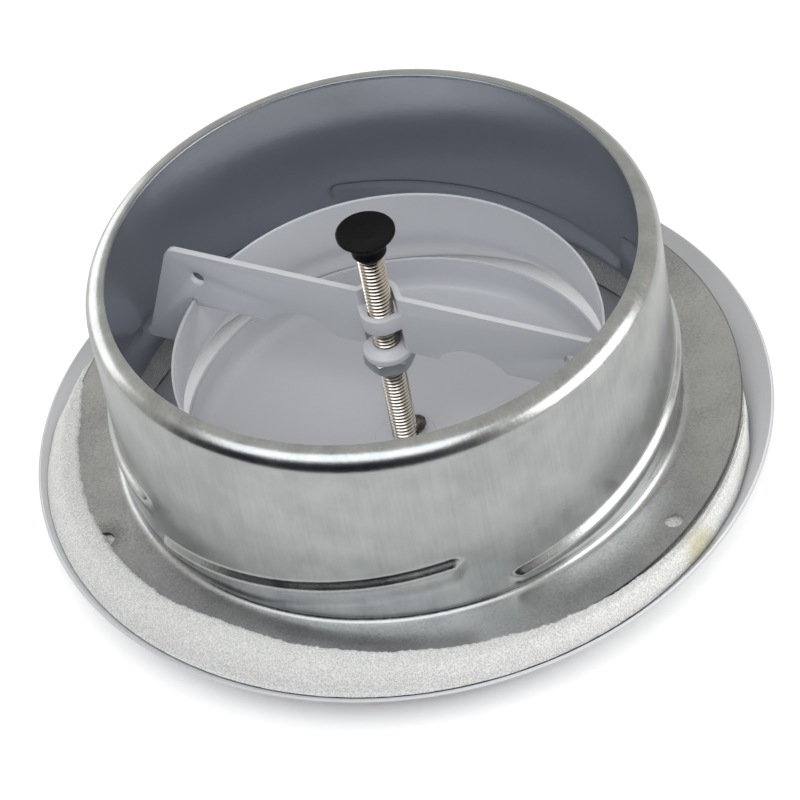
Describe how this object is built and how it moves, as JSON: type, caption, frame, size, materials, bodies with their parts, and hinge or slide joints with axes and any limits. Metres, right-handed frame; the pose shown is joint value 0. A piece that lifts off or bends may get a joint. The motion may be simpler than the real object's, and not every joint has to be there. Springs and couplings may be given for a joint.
{
  "type": "ventilation disc valve",
  "caption": "Round ventilation disc valve with bayonet mounting collar, foam gasket, crossbar and an adjustable disc on a threaded rod.",
  "frame": {"origin": "on the valve's axis, at the height of the room-side crest that it rests on", "axes": "+Z along the valve's axis towards the duct; the crossbar runs at 147 degrees from +X about +Z"},
  "size_m": [0.1662, 0.1662, 0.0699],
  "materials": {
    "galvanised": "satin",
    "white_paint": "satin",
    "foam": "matte",
    "zinc": "satin",
    "rod_steel": "gloss",
    "black_plastic": "matte"
  },
  "bodies": {
    "collar": {"mounting_collar": "galvanised"},
    "seal": {"foam_gasket": "foam"},
    "valve": {"valve_body": "white_paint", "crossbar": "white_paint", "ring_nut": "white_paint"},
    "locking": {"lock_nut": "zinc"},
    "cap": {"end_cap": "black_plastic"},
    "disc": {"threaded_rod": "rod_steel", "valve_disc": "white_paint"}
  },
  "joints": [
    {"name": "valve_seat", "type": "slide", "parent": "collar", "child": "seal", "axis": [0, 0, 1], "range_m": [-0.0056, 0]},
    {"name": "valve_twist", "type": "hinge", "parent": "seal", "child": "valve", "pos_m": [0, 0, 0], "axis": [0, 0, 1], "range_deg": [-40, 0]},
    {"name": "disc_travel", "type": "slide", "parent": "valve", "child": "cap", "axis": [0, 0, 1], "range_m": [-0.012, 0.0048]},
    {"name": "disc_turn", "type": "hinge", "parent": "cap", "child": "disc", "pos_m": [0, 0, 0], "axis": [0, 0, 1], "range_deg": [-4320, 1728]},
    {"name": "lock_nut_turn", "type": "hinge", "parent": "valve", "child": "locking", "pos_m": [0, 0, 0], "axis": [0, 0, 1], "range_deg": [0, 360]}
  ],
  "couplings": [
    {"joint": "valve_twist", "follows": "valve_seat", "rad_per_m": 124.67},
    {"joint": "disc_turn", "follows": "disc_travel", "rad_per_m": 6283.2}
  ]
}
